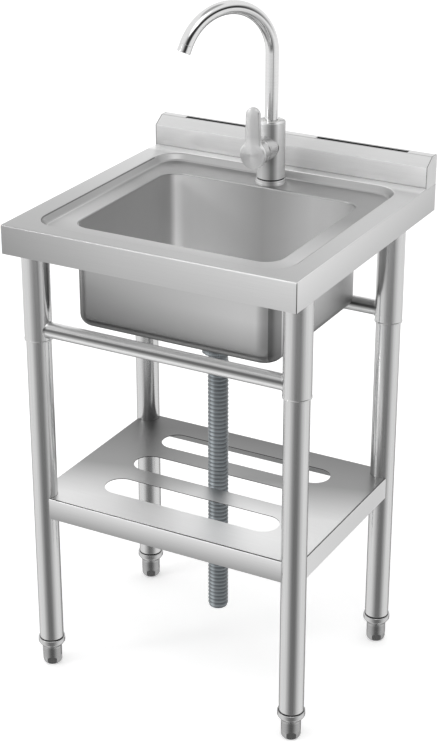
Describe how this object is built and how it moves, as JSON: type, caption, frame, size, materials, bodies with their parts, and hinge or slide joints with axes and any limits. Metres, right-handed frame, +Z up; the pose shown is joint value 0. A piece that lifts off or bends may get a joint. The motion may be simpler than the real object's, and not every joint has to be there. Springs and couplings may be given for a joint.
{
  "type": "kitchen sink unit",
  "caption": "Free-standing steel sink unit: worktop with recessed deck, deep bowl and low splash on round legs with a slotted shelf, levelling feet, lever mixer and ribbed waste hose.",
  "frame": {"origin": "on the floor, under the middle of the worktop", "axes": "+X to the right seen from the front, +Y to the back, towards the wall, +Z up"},
  "size_m": [0.5, 0.5, 1.0948],
  "materials": {
    "sheet_steel": "fine brushed",
    "bowl_steel": "drawn, satin",
    "tube_steel": "bright drawn tube",
    "fixing_steel": "smooth",
    "foot_metal": "turned, satin",
    "waste_steel": "polished",
    "mixer_metal": "satin nickel",
    "brass": "machined",
    "rubber": "matte black",
    "white_plastic": "matte white",
    "hose_plastic": "matte blue grey"
  },
  "bodies": {
    "frame": {"worktop": "sheet_steel", "backsplash": "sheet_steel", "splash_end_caps": "sheet_steel", "bowl": "bowl_steel", "leg_gussets": "tube_steel", "upper_leg_front_left": "tube_steel", "upper_leg_front_right": "tube_steel", "upper_leg_rear_left": "tube_steel", "upper_leg_rear_right": "tube_steel", "front_rail": "tube_steel", "rear_rail": "tube_steel", "lower_leg_front_left": "tube_steel", "lower_leg_front_right": "tube_steel", "lower_leg_rear_left": "tube_steel", "lower_leg_rear_right": "tube_steel", "leg_screws": "fixing_steel", "shelf": "sheet_steel", "shelf_tabs": "tube_steel", "shelf_screws": "fixing_steel", "foot_collar_front_left": "foot_metal", "foot_collar_front_right": "foot_metal", "foot_collar_rear_left": "foot_metal", "foot_collar_rear_right": "foot_metal", "waste_body": "waste_steel", "waste_gasket": "rubber", "waste_ring_nut": "white_plastic", "coupling_nut": "white_plastic", "hose_tail": "white_plastic", "hose_clamp": "fixing_steel", "drain_hose": "hose_plastic", "mixer_base_ring": "mixer_metal", "mixer_body": "mixer_metal", "mixer_shank": "brass", "mixer_rubber_washer": "rubber", "mixer_steel_washer": "fixing_steel", "mixer_nut": "brass", "cartridge": "white_plastic", "cartridge_nut": "mixer_metal", "spout_bush": "white_plastic", "spout_seals": "rubber"},
    "foot_fl": {"foot_front_left": "foot_metal"},
    "foot_fr": {"foot_front_right": "foot_metal"},
    "foot_rl": {"foot_rear_left": "foot_metal"},
    "foot_rr": {"foot_rear_right": "foot_metal"},
    "strainer": {"strainer_basket": "waste_steel", "strainer_knob": "waste_steel", "strainer_plug": "rubber"},
    "spout": {"spout": "mixer_metal", "aerator_shell": "mixer_metal", "aerator_insert": "white_plastic"},
    "carrier": {"cartridge_carrier": "white_plastic", "stem_pin": "mixer_metal"},
    "lever": {"lever": "mixer_metal", "lever_stem": "brass", "lever_screw": "mixer_metal"}
  },
  "joints": [
    {"name": "foot_height_fl", "type": "slide", "parent": "frame", "child": "foot_fl", "axis": [0, 0, -1], "range_m": [0, 0.025]},
    {"name": "foot_height_fr", "type": "slide", "parent": "frame", "child": "foot_fr", "axis": [0, 0, -1], "range_m": [0, 0.025]},
    {"name": "foot_height_rl", "type": "slide", "parent": "frame", "child": "foot_rl", "axis": [0, 0, -1], "range_m": [0, 0.025]},
    {"name": "foot_height_rr", "type": "slide", "parent": "frame", "child": "foot_rr", "axis": [0, 0, -1], "range_m": [0, 0.025]},
    {"name": "strainer_lift", "type": "slide", "parent": "frame", "child": "strainer", "axis": [0, 0, 1], "range_m": [0, 0.012]},
    {"name": "spout_swing", "type": "hinge", "parent": "frame", "child": "spout", "pos_m": [0, 0.1565, 0.9], "axis": [0, 0, 1], "continuous": true},
    {"name": "lever_turn", "type": "hinge", "parent": "frame", "child": "carrier", "pos_m": [0, 0.1565, 0.851], "axis": [0, -1, 0], "range_deg": [-45, 45]},
    {"name": "lever_tilt", "type": "hinge", "parent": "carrier", "child": "lever", "pos_m": [0, 0.1305, 0.851], "axis": [1, 0, 0], "range_deg": [0, 22]}
  ]
}
